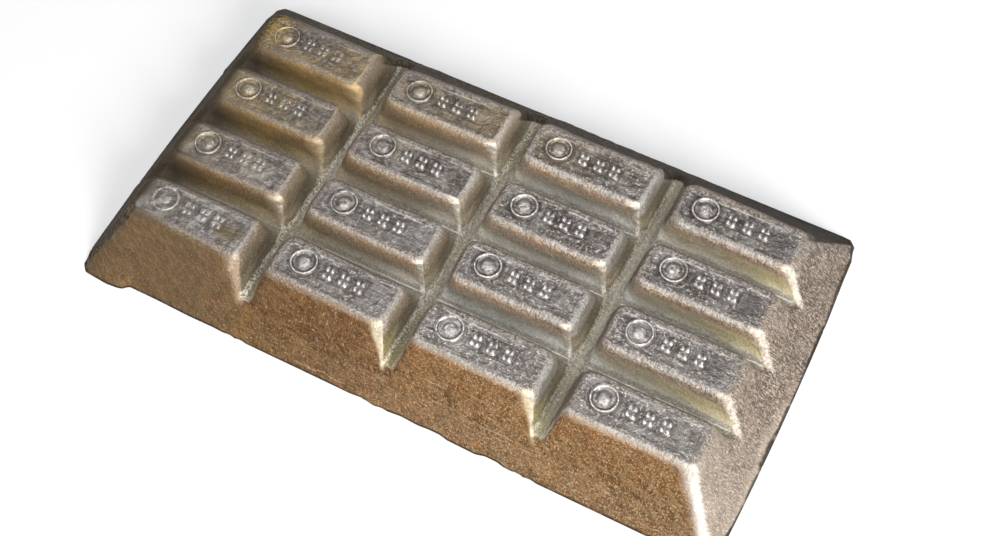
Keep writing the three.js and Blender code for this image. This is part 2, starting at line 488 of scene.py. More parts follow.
def copyPadMark(mark, column, row, wear):
    pickOnly(mark)
    bpy.ops.object.duplicate()
    piece = bpy.context.active_object
    piece.name = f"padMarks_{column}_{row}"
    bpy.ops.transform.translate(value=(*padMiddle(column, row), -wear))
    applyTransform(piece)
    applyModifier(piece, "DISPLACE", texture=bpy.data.textures["grain"], texture_coords="LOCAL",
                  mid_level=0.5, strength=castBlock["grain"] * 2 * padMark["grainShare"])
    return piece


def makePadMarks():
    mark = makePadMark()
    dice = random.Random(padMark["seed"])
    copies = []
    for row in range(padPlan["rows"]):
        for column in range(padPlan["columns"]):
            wear = padMark["leftWear"][column] + dice.uniform(0, padMark["mostWear"])
            copies.append(copyPadMark(mark, column, row, wear))
    bpy.data.objects.remove(mark)
    print("padMarks:", len(copies), "copies of", len(copies[0].data.polygons), "faces")
    return copies


class Link:
    # a node socket that reads as a number, so that shader maths is written as Python
    def __init__(self, tree, socket=None):
        self.tree = tree
        self.socket = socket

    def make(self, kind, settings=None, values=None, out=0):
        node = self.tree.nodes.new(kind)
        for name, value in (settings or {}).items():
            setattr(node, name, value)
        for key, value in (values or {}).items():
            if isinstance(value, Link):
                self.tree.links.new(value.socket, node.inputs[key])
            else:
                node.inputs[key].default_value = value
        outs = [Link(self.tree, socket) for socket in node.outputs]
        return outs if out is None else outs[out]

    def maths(self, operation, *values):
        return self.make("ShaderNodeMath", {"operation": operation}, dict(enumerate(values)))

    def __add__(self, other):
        return self.maths("ADD", self, other)

    def __sub__(self, other):
        return self.maths("SUBTRACT", self, other)

    def __rsub__(self, other):
        return self.maths("SUBTRACT", other, self)

    def __mul__(self, other):
        return self.maths("MULTIPLY", self, other)

    def __truediv__(self, other):
        return self.maths("DIVIDE", self, other)

    def __neg__(self):
        return self.maths("MULTIPLY", self, -1)

    __radd__ = __add__
    __rmul__ = __mul__

    def fold(self, operation, others):
        found = self
        for other in others:
            found = self.maths(operation, found, other)
        return found

    def least(self, *others):
        return self.fold("MINIMUM", others)

    def most(self, *others):
        return self.fold("MAXIMUM", others)

    def size(self):
        return self.maths("ABSOLUTE", self)

    def root(self):
        return self.maths("SQRT", self)

    def near(self):
        return self.maths("ROUND", self)

    def ramp(self, low, high, start=0, end=1):
        # eases from start to end as the value goes from low to high
        return self.make("ShaderNodeMapRange", {"interpolation_type": "SMOOTHSTEP"}, {
            "Value": self, "From Min": low, "From Max": high, "To Min": start, "To Max": end})

    def fall(self, low, high):
        # one below low, none above high
        return self.ramp(low, high, 1, 0)

    def band(self, low, high, soft):
        # one between low and high, none outside
        return self.ramp(low - soft, low + soft) * self.fall(high - soft, high + soft)

    def shift(self, reach):
        # a value from nought to one as a shift to either side of nothing
        return (self - 0.5) * reach

    def tint(self, first, second):
        # from the first colour to the second as this value goes from 0 to 1
        first, second = [finish[tone] if isinstance(tone, str) else tone for tone in (first, second)]
        return self.make("ShaderNodeMix", {"data_type": "RGBA"}, {0: self, 6: first, 7: second}, out=2)

    def noise(self, size, detail, rough, stretch=None, turn=(0, 0, 0)):
        # this place as seen in a cloud whose blobs have that size; stretch draws them out along an axis
        place = self
        if stretch:
            place = self.make("ShaderNodeMapping", {"vector_type": "TEXTURE"}, {
                "Vector": self, "Scale": stretch, "Rotation": turn})
        return self.make("ShaderNodeTexNoise", {}, {
            "Vector": place, "Scale": 1 / size, "Detail": detail, "Roughness": rough})


def srgb(red, green, blue):
    # a colour as a screen shows it, in the shader's own linear values
    def linear(value):
        share = value / 255
        return share / 12.92 if share <= 0.04045 else ((share + 0.055) / 1.055) ** 2.4
    return (linear(red), linear(green), linear(blue), 1)


# The alloy's colours, as a screen shows them
finish = {
    "padDark": srgb(98, 89, 84),
    "padLight": srgb(150, 143, 138),
    "padFleck": srgb(232, 229, 224),
    "padSmooth": srgb(112, 109, 107),
    "padBrass": srgb(160, 138, 92),
    # painted shade for the creases round the marks and the steps inside the pads' borders
    "creaseShade": srgb(58, 51, 47),
    "stain": srgb(112, 92, 40),
    "gold": srgb(214, 176, 84),
    # rimCool, rimWarm and rimGold: the pads' worn edges with their painted highlight
    "rimCool": srgb(203, 205, 204),
    "rimWarm": srgb(231, 212, 190),
    "rimGold": srgb(224, 192, 120),
    "rimDeep": srgb(158, 140, 122),
    "rimShade": srgb(112, 101, 94),
    "crownLight": srgb(176, 168, 160),
    # the ridge colours below colour the painted highlight on the pads' front right corners
    "ridgeWarm": srgb(196, 172, 144),
    "ridgeBright": srgb(250, 244, 232),
    "ridgeDull": srgb(206, 208, 212),
    "ridgeLime": srgb(222, 214, 160),
    "frontDeep": srgb(74, 53, 34),
    "frontMiddle": srgb(140, 108, 70),
    "frontWarm": srgb(152, 101, 58),
    "frontEarth": srgb(134, 108, 60),
    "frontOlive": srgb(116, 98, 56),
    "frontOrange": srgb(176, 124, 78),
    "frontDull": srgb(118, 100, 76),
    "frontFoot": srgb(178, 146, 112),
    "frontLight": srgb(226, 200, 166),
    "endDeep": srgb(98, 85, 74),
    "endLight": srgb(172, 155, 139),
    "endPale": srgb(210, 195, 178),
    # the two colours below: painted shade on the back and left end, and the painted contact shadow at the
    # foot
    "darkFace": srgb(42, 36, 30),
    "shadedFaceMottle": srgb(104, 90, 73),
    "leftShade": srgb(72, 62, 48),
    "dimTop": srgb(104, 80, 48),
    "dimMiddle": srgb(105, 86, 52),
    "dimLow": srgb(134, 117, 82),
    "dimFoot": srgb(134, 123, 102),
    "litTop": srgb(158, 134, 110),
    "litMiddle": srgb(147, 137, 123),
    "litLow": srgb(206, 200, 189),
    "litFoot": srgb(146, 141, 130),
    "wallGreen": srgb(201, 188, 144),
    "wallBrass": srgb(156, 124, 66),
    "wallHeat": srgb(196, 148, 108),
    "wallBlue": srgb(160, 170, 172),
    "mouthOlive": srgb(148, 136, 82),
    "sideTop": srgb(150, 134, 112),
    "sideMiddle": srgb(128, 116, 94),
    "sideLow": srgb(148, 137, 114),
    "sideShade": srgb(98, 84, 62),
    "floorLight": srgb(184, 178, 163),
    "floorDark": srgb(142, 133, 117),
    "floorOlive": srgb(112, 101, 70),
    "line": srgb(240, 236, 222),
    "speckShade": srgb(98, 86, 62),
}

# Its clouds: size, octaves, roughness, and how some are drawn out and turned
clouds = {
    "wide": (55 * mm, 2, 0.5),
    "blotch": (8 * mm, 4, 0.6),
    "mottle": (1.9 * mm, 5, 0.62),
    "fleck": (0.9 * mm, 3, 0.6),
    "speck": (0.5 * mm, 2, 0.6),
    "stroke": (0.6 * mm, 3, 0.65, (1, 6, 6)),  # down the front walls
    "slant": (0.6 * mm, 3, 0.65, (4.5, 1, 4.5), (0, 0, 0.3)),  # down the right end
    "streak": (1.6 * mm, 3, 0.6, (3.5, 1, 1), (0, 0.5, -0.45)),
    "drawn": (0.9 * mm, 3, 0.6, (9, 1, 1)),  # along the block
    "scratch": (0.8 * mm, 2, 0.5, (22, 1.3, 1.3)),
}

# How deep under the pads' tops the walls' colours lie
wallStops = {"Top": 3 * mm, "Middle": 7 * mm, "Low": 12.5 * mm, "Foot": 14 * mm}
sideStops = {"Top": 3 * mm, "Middle": 8 * mm, "Low": 12 * mm}

# Two coloured spots: middle, and how much narrower than long they are
spots = {"stain": (-86 * mm, -52 * mm, 1.6), "gilt": (-126 * mm, 50 * mm, 0.8)}


def padSpace(x, y):
    # place from the middle of the nearest pad
    def cell(value, pitch, middle, count):
        raw = ((value - middle) / pitch - 0.5).near().most(-count / 2).least(count / 2 - 1)
        return value - middle - (raw + 0.5) * pitch
    u = cell(x, padPlan["pitchX"], 0, padPlan["columns"])
    v = cell(y, padPlan["pitchY"], padPlan["middleY"], padPlan["rows"])
    return u, v


def distance(across, along):
    return (across * across + along * along).root()


def fromSpot(at, name):
    x, y, squeeze = spots[name]
    return distance(at.x - x, (at.y - y) * squeeze)


def fade(value, kind, stops):
    # a kind's colours, one after the other as the value passes their stops
    tone = kind + next(iter(stops))
    for low, (name, high) in zip(stops.values(), list(stops.items())[1:]):
        tone = value.ramp(low, high).tint(tone, kind + name)
    return tone


def paint(tone, layers):
    # lays colours over a tone, each as strongly as its mask says
    for mask, colour in layers:
        tone = mask.tint(tone, colour)
    return tone


def beyondBlock(x, y, depth):
    # how far a place lies outside the line of each of the block's own faces
    left, front = padMiddle(0, 0)
    right, back = padMiddle(padPlan["columns"] - 1, padPlan["rows"] - 1)
    return {
        "beyondFront": (front - padPlan["halfWidth"]) - y - depth * wallSlopes["front"],
        "beyondBack": y - (back + padPlan["halfWidth"]) - depth * wallSlopes["back"],
        "beyondLeft": (left - padPlan["halfLength"]) - x - depth * wallSlopes["end"],
        "beyondEnd": x - (right + padPlan["halfLength"]) - depth * wallSlopes["end"],
    }


def readSkin(tree):
    # everything that the finishes read: the place, which way it faces, where it is on its pad, clouds
    start = Link(tree)
    _, facing, _, place, *_ = start.make("ShaderNodeTexCoord", out=None)
    x, y, z = start.make("ShaderNodeSeparateXYZ", {}, {"Vector": place}, out=None)
    nx, ny, nz = start.make("ShaderNodeSeparateXYZ", {}, {"Vector": facing}, out=None)
    u, v = padSpace(x, y)
    corner = 2 * mm
    outX = u.size() - padPlan["halfLength"]
    outY = v.size() - padPlan["halfWidth"]
    outside = distance((outX + corner).most(0), (outY + corner).most(0)) - corner
    depth = padPlan["topZ"] - z
    seen = {name: place.noise(*cloud) for name, cloud in clouds.items()}
    seen["stroke"] = (seen["stroke"] - 0.5) * x.ramp(-90 * mm, 0, 0.1, 1) + 0.5
    return SimpleNamespace(
        x=x, y=y, z=z, nx=nx, ny=ny, nz=nz, u=u, v=v, depth=depth, outX=outX,
        right=u - padPlan["halfLength"],
        front=-v - padPlan["halfWidth"],
        outside=outside + (outX.most(outY) + corner).least(0),
        # the casting is smoother and yellower towards its back left
        grit=(x - y * 0.7).ramp(-120 * mm, 40 * mm, 0.4, 1),
        golden=(x - y * 0.8).fall(-110 * mm, -20 * mm),
        lastColumn=x.ramp(padPlan["lastColumnX"] - mm, padPlan["lastColumnX"] + mm),
        firstRow=y.fall(padPlan["firstRowY"] - mm, padPlan["firstRowY"] + mm),
        toFront=(-ny).ramp(0.2, 0.6), toRight=nx.ramp(0.2, 0.6),
        grains=seen["fleck"] * 0.5 + seen["speck"] * 0.5,
        **seen, **beyondBlock(x, y, depth))


def brassy(at, end):
    # patches of yellower metal towards the back left
    return (at.x * 0.6 - at.y).fall(-90 * mm, end) * (at.blotch + at.wide - 0.5).ramp(0.3, 0.7)


def markMasks(at):
    # the creases round a pad's marks with their painted shade, their worn tops with a painted highlight,
    # and the marks as a whole
    fromMiddle = at.v - padMark["markY"]
    fromBoss = distance(at.u - padMark["bossX"], fromMiddle) - padMark["bossRadius"]
    nearX, *others = [(at.u - studX).size() for studX in padMark["studX"]]
    nearX = nearX.least(*others)
    nearY = fromMiddle.size()
    fromStud = (nearX - padMark["studLength"] / 2).most(nearY - padMark["studWidth"] / 2)
    ragged = at.fleck.shift(0.9 * mm)
    bossEdge = fromBoss + ragged
    studEdge = fromStud + ragged
    slot = (nearX.least(nearY) + ragged * 0.5).fall(0.2 * mm, 0.7 * mm)  # between a stud's four knobs
    # painted shade at the marks' feet, in the boss's inner floor and between a stud's knobs
    creaseShade = bossEdge.band(-0.2 * mm, 0.6 * mm, 0.3 * mm).most(
        studEdge.band(-0.2 * mm, 0.5 * mm, 0.3 * mm),
        bossEdge.band(-3.2 * mm, -2.2 * mm, 0.3 * mm) * 0.4,
        fromStud.fall(-0.5 * mm, -0.2 * mm) * slot * 0.55)
    # the marks' tops, worn bright and also given a painted highlight
    wornAndSheen = (fromBoss + ragged * 0.4).band(-1.6 * mm, -0.8 * mm, 0.2 * mm).most(
        bossEdge.fall(-4.4 * mm, -3.6 * mm) * 0.45,
        studEdge.fall(-1.2 * mm, -0.6 * mm) * (1 - slot))
    return creaseShade, wornAndSheen, fromBoss.least(fromStud).fall(-0.3 * mm, 0.2 * mm)


def panelFinish(at):
    # rough grey-brown metal with bright flecks, brushed along the pad, and the marks on it
    mask = (at.outside + at.mottle.shift(2.4 * mm)).fall(-0.7 * mm, 0.7 * mm)
    mask = mask * at.depth.fall(1.8 * mm, 2.6 * mm)
    creaseShade, wornAndSheen, marks = markMasks(at)
    pale = (at.x - at.y).ramp(-60 * mm, 140 * mm)
    brushed = (at.drawn - at.mottle) * at.x.ramp(-100 * mm, 0, 0.2, 0.55) + at.mottle
    smooth = (at.u + at.blotch.shift(6 * mm)).band(14.5 * mm, 23 * mm, 1.5 * mm)
    smooth = smooth * (at.v + at.mottle.shift(4 * mm)).band(-6.5 * mm, 5.5 * mm, 1.5 * mm)
    smooth = smooth * at.lastColumn * at.y.ramp(-45 * mm, -10 * mm, 0.3, 1)
    flecks = at.fleck * 0.55 + at.mottle * 0.45 + pale * 0.015
    flecks = flecks + at.outside.ramp(-7 * mm, -0.5 * mm) * at.grit * 0.035
    flecks = flecks.ramp(0.57, 0.645) * (1 - marks * 0.7) * (1 - smooth * 0.6)
    backLine = at.v.ramp(3 * mm, 6 * mm) * at.outside.band(-1.4 * mm, -0.5 * mm, 0.25 * mm)
    frontLine, rightLine = (out.band(-1.4 * mm, -0.6 * mm, 0.3 * mm) for out in (at.front, at.right))
    stained = (fromSpot(at, "stain") + at.mottle.shift(12 * mm)).fall(2 * mm, 10 * mm)
    tone = paint("padDark", [
        ((brushed + pale.shift(0.05)).ramp(0.38, 0.62), "padLight"),
        (at.x.ramp(-120 * mm, -60 * mm, 0.14, 0), "padDark"),
        (at.blotch.ramp(0.45, 0.7) * 0.3, "padFleck"),
        (brassy(at, 10 * mm) * 0.6, "padBrass"),
        (at.y.ramp(-25 * mm, 5 * mm, 0.07, 0), "padFleck"),
        (smooth * 0.5, "padSmooth"),
        (creaseShade * at.grit * 0.55, "creaseShade"),
        (flecks * at.grit * at.grit * 0.85, "padFleck"),
        # worn tops of the marks with a painted highlight
        (wornAndSheen * at.fleck.ramp(0.34, 0.54) * (at.grit * 0.6 + 0.2), "padFleck"),
        (backLine * at.drawn.ramp(0.42, 0.6) * at.grit * 0.6, "padFleck"),
        # painted shade along the panel's front and right steps
        (frontLine.most(rightLine) * at.mottle.ramp(0.4, 0.55, 0, 0.25), "creaseShade"),
        (stained * at.mottle.ramp(0.4, 0.6, 0.35, 0.8), "stain"),
    ])
    return mask, tone, flecks, marks


def wallTone(at, lit):
    # the walls that face the front
    deep = at.depth + at.blotch.shift(3 * mm)
    litWall = paint(fade(deep, "lit", wallStops), [
        (at.blotch.ramp(0.42, 0.58) * deep.band(2 * mm, 5.5 * mm, 1.5 * mm) * 0.45, "wallHeat"),
        (at.wide.ramp(0.45, 0.6) * deep.ramp(6 * mm, 9 * mm) * 0.3, "wallBlue"),
    ])
    green = at.x.ramp(68 * mm, 90 * mm) * at.depth.band(5.5 * mm, 13 * mm, 1.5 * mm)
    return paint(fade(deep, "dim", wallStops), [
        (lit, litWall),
        (green * at.u.ramp(-8 * mm, 20 * mm, 0.35, 0.9), "wallGreen"),
        (brassy(at, 0) * 0.55, "wallBrass"),
    ])


def sideTone(at, mouth):
    # the walls that face right
    shady = at.x.fall(-69 * mm, -66 * mm) * mouth
    return paint(fade(at.depth + at.blotch.shift(2 * mm), "side", sideStops), [
        (at.x.ramp(-80 * mm, -20 * mm, 0.45, 0), "sideShade"),
        ((mouth - shady) * at.depth.ramp(4 * mm, 8 * mm) * 0.75, "mouthOlive"),
        (shady * 0.5, "speckShade"),
    ])


def crownTone(at):
    # the round shoulders of the pads
    return paint("rimShade", [
        ((at.fleck * 0.5 + at.mottle * 0.5).ramp(0.4, 0.62), "crownLight"),
        (at.x.ramp(-130 * mm, 0, 0.7, 0), "rimShade"),
    ])


def floorTone(at, mouth):
    # the floors of the column grooves
    nearFront = at.x.fall(-50 * mm, -10 * mm) * at.y.fall(-46 * mm, -24 * mm)
    return paint("floorDark", [
        ((at.mottle * 0.6 + at.fleck * 0.4).ramp(0.36, 0.62), "floorLight"),
        ((at.y + 2 * mm).size().ramp(28 * mm, 50 * mm) * 0.8, "floorOlive"),
        (mouth * at.x.ramp(-60 * mm, 0, 0.6, 0.8), "mouthOlive"),
        (at.x.ramp(-60 * mm, -10 * mm, 0.22, 0), "speckShade"),
        (nearFront * 0.4, "speckShade"),
        # painted light towards the right
        (at.x.ramp(10 * mm, 60 * mm, 0, 0.2), "line"),
    ])


def grooveLines(at):
    # light caught by the row grooves' hollows, by the sills between the grooves and by the front lip
    line = (at.v + at.mottle.shift(mm)).band(-16.6 * mm, -15.7 * mm, 0.3 * mm)
    line = line * at.depth.band(12 * mm, 15.2 * mm, 0.4 * mm) * at.nz.ramp(0.6, 0.8)
    line = line * at.drawn.ramp(0.35, 0.55) * at.x.ramp(-70 * mm, 20 * mm, 0.15, 1)
    sill = at.depth.band(13.6 * mm, 15.8 * mm, 0.5 * mm) * at.u.size().ramp(29.6 * mm, 31.4 * mm)
    sill = sill * at.nz.ramp(0.2, 0.5) * (at.toFront.most(at.toRight) * 0.5 + 0.5)
    lip = at.beyondFront.band(-3 * mm, -0.6 * mm, 0.5 * mm) * at.depth.ramp(13.5 * mm, 15 * mm)
    return line.most(sill.most(lip * 0.5) * at.fleck.ramp(0.36, 0.6))


def grooveFinish(at):
    # satin walls, dim and brown to the left and paler to the right, over softly edged grey valley floors
    lit = (at.x + at.wide.shift(60 * mm)).ramp(-118 * mm, 40 * mm)
    mouth = (at.y + at.blotch.shift(8 * mm)).fall(-66 * mm, -50 * mm)
    low = at.depth.ramp(6 * mm, 9 * mm)  # the walls' tones go on round the hollow to the floor
    crown = at.nz.ramp(0.75, 0.95) * at.depth.fall(3 * mm, 5 * mm)
    trough = at.depth.band(12.6 * mm, 14.6 * mm, 0.4 * mm) * at.nz.ramp(0.7, 0.9)
    halfGap = padPlan["pitchX"] / 2 - padPlan["halfLength"]
    floor = (at.outX + at.mottle.shift(2 * mm)).ramp(halfGap - 3.6 * mm, halfGap - 0.4 * mm)
    leftEnd = (at.blotch.shift(12 * mm) - at.x).ramp(104 * mm, 130 * mm)
    return paint("rimShade", [
        (at.toFront.most((-at.ny).ramp(0.02, 0.2) * low), wallTone(at, lit)),
        (at.toRight.most(at.nx.ramp(0.05, 0.25) * low * (1 - at.toFront)), sideTone(at, mouth)),
        (crown, crownTone(at)),
        (trough * 0.8, lit.tint("dimFoot", "litFoot")),
        (floor * at.depth.ramp(13 * mm, 15.5 * mm) * 0.85, floorTone(at, mouth)),
        (grooveLines(at) * 0.8, "line"),
        (at.grains.fall(0.36, 0.5) * (at.grit + 0.3) * 0.36, "speckShade"),
        (at.grains.ramp(0.51, 0.64) * at.grit * 0.36, "line"),
        (leftEnd * 0.8, "leftShade"),
    ])


def outerMasks(at):
    # the block's own faces: the front, the right end, and the back and left end, which are painted dark as
    # shade
    inColumn = (at.outX - at.depth * wallSlopes["column"]).ramp(-2 * mm, -mm)
    inColumn = inColumn * at.depth.fall(15.5 * mm, 17 * mm)
    front = (at.beyondFront - inColumn * (2.2 * mm)).ramp(-3.2 * mm, -2 * mm)
    front = front * at.depth.ramp(1.5 * mm, 3 * mm)
    end = at.beyondEnd.ramp(-2.8 * mm, -0.8 * mm) * at.depth.ramp(0.3 * mm, mm)
    back = (at.depth + at.x.ramp(20 * mm, 110 * mm, 0, 2.5 * mm)).ramp(1.5 * mm, 6.5 * mm)
    back = back * at.beyondBack.ramp(-3.2 * mm, -2 * mm)
    return front, end, back.most(at.beyondLeft.ramp(-3.2 * mm, -1.6 * mm))


def frontTone(at):
    # bronze with strokes down it, crisp at the right and dull at the left
    crisp = at.x.ramp(-60 * mm, 60 * mm)
    dull = (at.x + at.wide.shift(60 * mm)).fall(-100 * mm, -45 * mm)
    streak = at.streak.ramp(0.42, 0.66)
    grain = at.stroke * 0.3 + at.fleck * 0.4 + at.mottle * 0.3 + at.speck.shift(0.5) * (1 - crisp)
    grain = grain + at.blotch.shift(0.08) + (streak - 0.5) * (crisp * 0.04 + 0.06)
    warm = (at.depth + at.blotch.shift(16 * mm)).fall(6 * mm, 22 * mm) * (1 - dull)
    foot = (at.depth + at.blotch.shift(12 * mm)).ramp(16 * mm, 22 * mm)
    drawn = at.depth.ramp(4 * mm, 14 * mm) * (1 - dull * 0.7) * 0.4
    shade = at.x.band(-62 * mm, -8 * mm, 14 * mm) * at.depth.ramp(15 * mm, 20 * mm, 1, 0.3)
    scratches = at.scratch.ramp(0.6, 0.7) * at.z.band(4 * mm, 19 * mm, 3 * mm)
    lights = (at.stroke * 0.35 + at.fleck * 0.35 + at.speck * 0.3).ramp(0.52, 0.66) * (0.85 - dull * 0.5)
    lights = lights.most(
        at.grains.ramp(0.53, 0.61) * crisp * 0.6,
        scratches * at.x.band(-12 * mm, 74 * mm, 8 * mm) * 0.5,
        streak * (crisp * 0.08 + 0.08))
    return paint("frontDeep", [
        (grain.ramp(0.37, 0.61), "frontMiddle"),
        ((at.blotch * 0.4 + at.wide * 0.6).ramp(0.44, 0.6) * 0.5, "frontEarth"),
        ((warm * 0.5 + 0.1) * at.stroke.ramp(0.4, 0.58, 0.5, 1), "frontWarm"),
        (foot * at.x.ramp(-70 * mm, 20 * mm, 0.15, 1) * 0.3, "frontFoot"),
        (dull * 0.6, "frontDull"),
        (at.streak.ramp(0.44, 0.6) * (1 - dull) * 0.35, "frontOlive"),
        ((at.mottle * 0.5 + at.blotch * 0.5).ramp(0.48, 0.6) * (1 - dull) * 0.3, "frontOrange"),
        (at.drawn.ramp(0.54, 0.64) * drawn, "frontOrange"),
        (at.drawn.fall(0.38, 0.47) * drawn, "frontDeep"),
        (shade * 0.35, "frontDeep"),
        (at.grains.fall(0.38, 0.48) * crisp * 0.6, "frontDeep"),
        (lights, "frontLight"),
    ])


def endTone(at):
    # sandy, palest towards the front and at the foot
    sand = (at.slant * 0.45 + at.fleck * 0.2 + at.speck * 0.25 + at.mottle * 0.1).shift(1.7) + 0.5
    sand = sand + at.blotch.shift(0.3) + at.wide.shift(0.3)
    pale = (at.y + at.wide.shift(30 * mm)).ramp(-75 * mm, -15 * mm, 0.42, 0)
    sparkle = at.slant * 0.4 + at.fleck * 0.3 + at.speck * 0.3
    return paint("endDeep", [
        (sand.ramp(0.38, 0.6), "endLight"),
        (pale.most(at.z.ramp(2 * mm, 6 * mm, 0.5, 0) * at.y.fall(-20 * mm, 10 * mm)), "endPale"),
        (sparkle.ramp(0.51, 0.63) * 0.6, "ridgeBright"),
    ])


def outerFinish(at):
    # bronze front, sandy right end, left end and back painted dark as shade, and a painted contact shadow
    # along the foot
    front, end, dark = outerMasks(at)
    # painted shade on the back and left end, which face away from the lamps
    shadedFaces = paint("darkFace", [
        ((at.mottle * 0.6 + at.fleck * 0.4).ramp(0.4, 0.62), "shadedFaceMottle"),
        (at.x.ramp(20 * mm, 110 * mm) * 0.7, "darkFace"),
    ])
    # a painted contact shadow along the foot
    footShadow = (at.z - end * (0.5 * mm)).fall(0.4 * mm, 1.3 * mm) * at.blotch.ramp(0.36, 0.46, 0.45, 0.9)
    flash = (at.z + at.blotch.shift(2.6 * mm)).band(2.2 * mm, 2.5 * mm, 0.15 * mm)
    flash = flash * at.firstRow * at.mottle.ramp(0.42, 0.5)
    flash = flash * at.x.band(90 * mm, 134 * mm, 3 * mm).most(at.x.band(-40 * mm, -14 * mm, 3 * mm))
    tone = paint(frontTone(at), [
        (end, endTone(at)),
        (dark, shadedFaces),
        # painted contact shadow at the foot
        (footShadow, "darkFace"),
        (flash * 0.5, "frontLight"),
    ])
    return front.most(end, dark), end, dark, tone, flash


def rimWearAndSheen(at):
    # the pads' front and right edges are worn bright and carry a painted highlight, in strokes across them,
    # least at the left
    faded = at.x.ramp(-120 * mm, 60 * mm)
    frontEdge = at.front + at.stroke.shift(4.5 * mm) + at.blotch.shift(1.5 * mm)
    frontEdge = frontEdge - at.x.ramp(0, 100 * mm, 0.35 * mm, 1 * mm)
    frontRim = frontEdge.ramp(-1 * mm, 0.8 * mm)
    frontRim = frontRim * (frontEdge + at.firstRow * (0.9 * mm)).fall(1.6 * mm, 4.4 * mm)
    frontRim = frontRim * (1 - at.firstRow * at.x.ramp(-10 * mm, 60 * mm, 0.35, 0))
    frontRim = frontRim * (-at.ny).ramp(0.05, 0.3) * at.depth.fall(3 * mm, 6 * mm)
    rightEdge = at.right + at.mottle.shift(2 * mm) - at.x.ramp(-70 * mm, 40 * mm, -0.9 * mm, 0.6 * mm)
    reach = at.x.ramp(-70 * mm, 50 * mm, 0.5 * mm, 3 * mm)
    rightRim = rightEdge.ramp(-1.6 * mm, 0.8 * mm) * (rightEdge - reach).fall(0, 1.8 * mm)
    rightRim = rightRim * at.nx.ramp(-0.1, 0.2) * at.depth.fall(5.5 * mm, 7 * mm)
    rightRim = rightRim * (1 - at.lastColumn * 0.8) * at.blotch.ramp(0.4, 0.6, 1, 0.65)
    warm = (at.front + at.mottle.shift(2 * mm)).ramp(1.2 * mm, 3.4 * mm).most(0.7 - faded * 0.7)
    strokes = (at.stroke * 0.6 + at.fleck * 0.4).ramp(0.42, 0.56, 0.85, 0)
    tone = paint("rimCool", [
        (warm, "rimWarm"),
        (at.golden * 0.8, "rimGold"),
        (strokes * (1 - rightRim * 0.5), "rimDeep"),
    ])
    return (frontRim * (0.15 + faded * 0.8)).most(rightRim * 0.75), tone


def ridgeHighlightFinish(at):
    # the front right corner of a pad: a painted highlight, a pale flare at the top that narrows towards the
    # foot
    whole = at.lastColumn * at.firstRow  # on the block's own corner
    broad = at.firstRow * at.x.fall(-68 * mm, -60 * mm)  # on the front left pad
    slopeX = at.lastColumn * (wallSlopes["endRidge"] - wallSlopes["column"]) + wallSlopes["column"]
    slopeY = at.firstRow * (wallSlopes["front"] - wallSlopes["row"]) + wallSlopes["row"]
    # more than nothing on the front wall, less on the right one
    fromRidge = at.front - at.right + at.depth * (slopeX - slopeY)
    reach = at.depth.ramp(mm, 14 * mm, 5.6 * mm, 1.2 * mm) + broad * (1.6 * mm)
    reach = reach + whole * at.depth.ramp(2 * mm, 10 * mm, 0, 3 * mm)
    reach = reach + at.golden * at.depth.ramp(2 * mm, 11 * mm, 5 * mm, 0)
    soft = mm * (1.2 + whole * 1.8 + at.golden * 1.5 + broad * 1.6)
    ragged = at.fleck.shift(2 * mm) + at.stroke.shift(8 * mm) * broad
    onRight = fromRidge + at.slant.shift(4 * mm) * at.lastColumn + at.lastColumn * (1.4 * mm)
    onRight = onRight + 1.4 * mm + at.golden * at.depth.ramp(2 * mm, 10 * mm, 4 * mm, 0)
    ridge = onRight.ramp(
        -0.5 * mm - at.lastColumn * (1.4 * mm) - at.golden * mm,
        0.5 * mm + at.lastColumn * (0.6 * mm) + at.golden * (2 * mm))
    ridge = ridge * (fromRidge - reach + ragged).fall(-soft, soft)
    ridge = ridge * at.right.ramp(-6 * mm, -4.5 * mm) * at.front.ramp(-0.8 * mm, 0.5 * mm)
    ridge = ridge * at.depth.ramp(0.3 * mm, 1.2 * mm) * at.depth.fall(15 * mm, 17.6 * mm).most(whole)
    bright = (fromRidge / reach + at.stroke.shift(1) * (1.6 - whole * 0.8)).fall(0.2, 1.2)
    patches = (at.fleck * 0.5 + at.mottle * 0.5).ramp(0.42, 0.54, 0.6, 0)
    tone = paint("ridgeWarm", [
        (bright, "ridgeBright"),
        (at.golden * 0.85, "rimGold"),
        (at.x.ramp(-100 * mm, -40 * mm, 0.45, 0), "rimDeep"),
        (broad * (at.fleck * 0.6 + at.speck * 0.4).ramp(0.4, 0.6, 0.95, 0.55), "rimDeep"),
        (patches * (1 - whole * 0.4), "ridgeWarm"),
        (whole * 0.5, "ridgeDull"),
        (at.firstRow * (1 - at.lastColumn) * (1 - broad) * 0.3, "ridgeLime"),
    ])
    return ridge * (0.8 - broad * 0.15), tone


